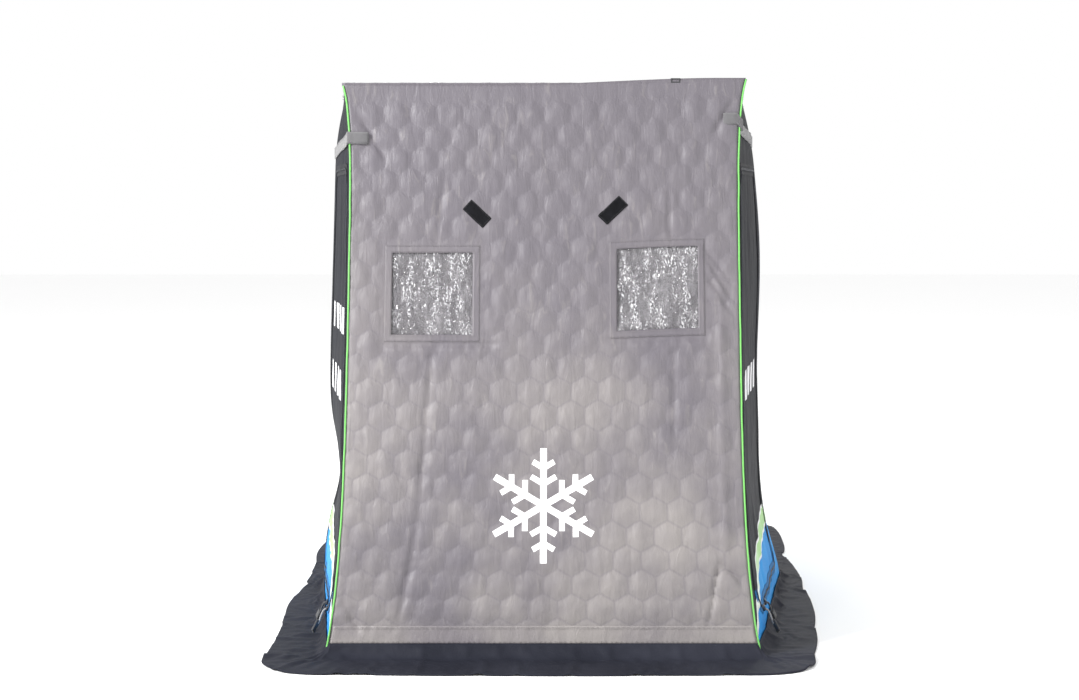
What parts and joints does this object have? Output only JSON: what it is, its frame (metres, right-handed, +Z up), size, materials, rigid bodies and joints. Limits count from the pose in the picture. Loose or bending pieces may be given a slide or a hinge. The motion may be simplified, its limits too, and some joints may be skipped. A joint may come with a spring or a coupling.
{
  "type": "one-person fabric ice fishing hut",
  "caption": "Upright fabric ice shelter for one angler: quilted grey front with two clear windows, dark sides with zipped doors, and a snow skirt.",
  "frame": {"origin": "middle of the footprint, skirt included, at the level of the ice", "axes": "+Z up, the front panel faces -Y, +X to the right of someone who faces the front"},
  "size_m": [1.83, 2.37, 1.664],
  "materials": {
    "quilted_fabric": "matte, hexagon quilted",
    "plain_grey_fabric": "matte",
    "black_side_fabric": "matte",
    "blue_fabric": "satin",
    "zip_tape": "matte",
    "zip_metal": "satin",
    "lime_print": "matte",
    "lime_piping": "satin",
    "clear_vinyl": "clear, crinkled",
    "hook_and_loop": "matte",
    "grey_webbing": "matte",
    "black_webbing": "matte",
    "skirt_fabric": "matte",
    "frame_tube": "satin"
  },
  "bodies": {
    "root": {"front_panel": "quilted_fabric", "front_hem": "plain_grey_fabric", "roof_panel": "quilted_fabric", "rear_roof_panel": "quilted_fabric", "back_panel": "quilted_fabric", "left_front_side": "black_side_fabric", "right_front_side": "black_side_fabric", "left_rear_side": "black_side_fabric", "right_rear_side": "black_side_fabric", "left_front_lower": "blue_fabric", "right_front_lower": "blue_fabric", "left_rear_lower": "blue_fabric", "right_rear_lower": "blue_fabric", "left_door": "black_side_fabric", "right_door": "black_side_fabric", "left_zip_track": "zip_tape", "right_zip_track": "zip_tape", "left_zip_pull": "zip_metal", "right_zip_pull": "zip_metal", "left_stripe": "lime_print", "right_stripe": "lime_print", "left_piping": "lime_piping", "right_piping": "lime_piping", "left_window": "clear_vinyl", "right_window": "clear_vinyl", "left_window_border": "plain_grey_fabric", "right_window_border": "plain_grey_fabric", "left_window_cover": "plain_grey_fabric", "right_window_cover": "plain_grey_fabric", "left_patch": "hook_and_loop", "right_patch": "hook_and_loop", "left_strap": "grey_webbing", "right_strap": "grey_webbing", "top_clip": "black_webbing", "front_skirt": "skirt_fabric", "back_skirt": "skirt_fabric", "left_skirt": "skirt_fabric", "right_skirt": "skirt_fabric", "front_bow": "frame_tube", "middle_bow": "frame_tube", "rear_bow": "frame_tube", "left_base_rail": "frame_tube", "right_base_rail": "frame_tube", "front_ground_bar": "frame_tube", "rear_ground_bar": "frame_tube"}
  },
  "joints": []
}
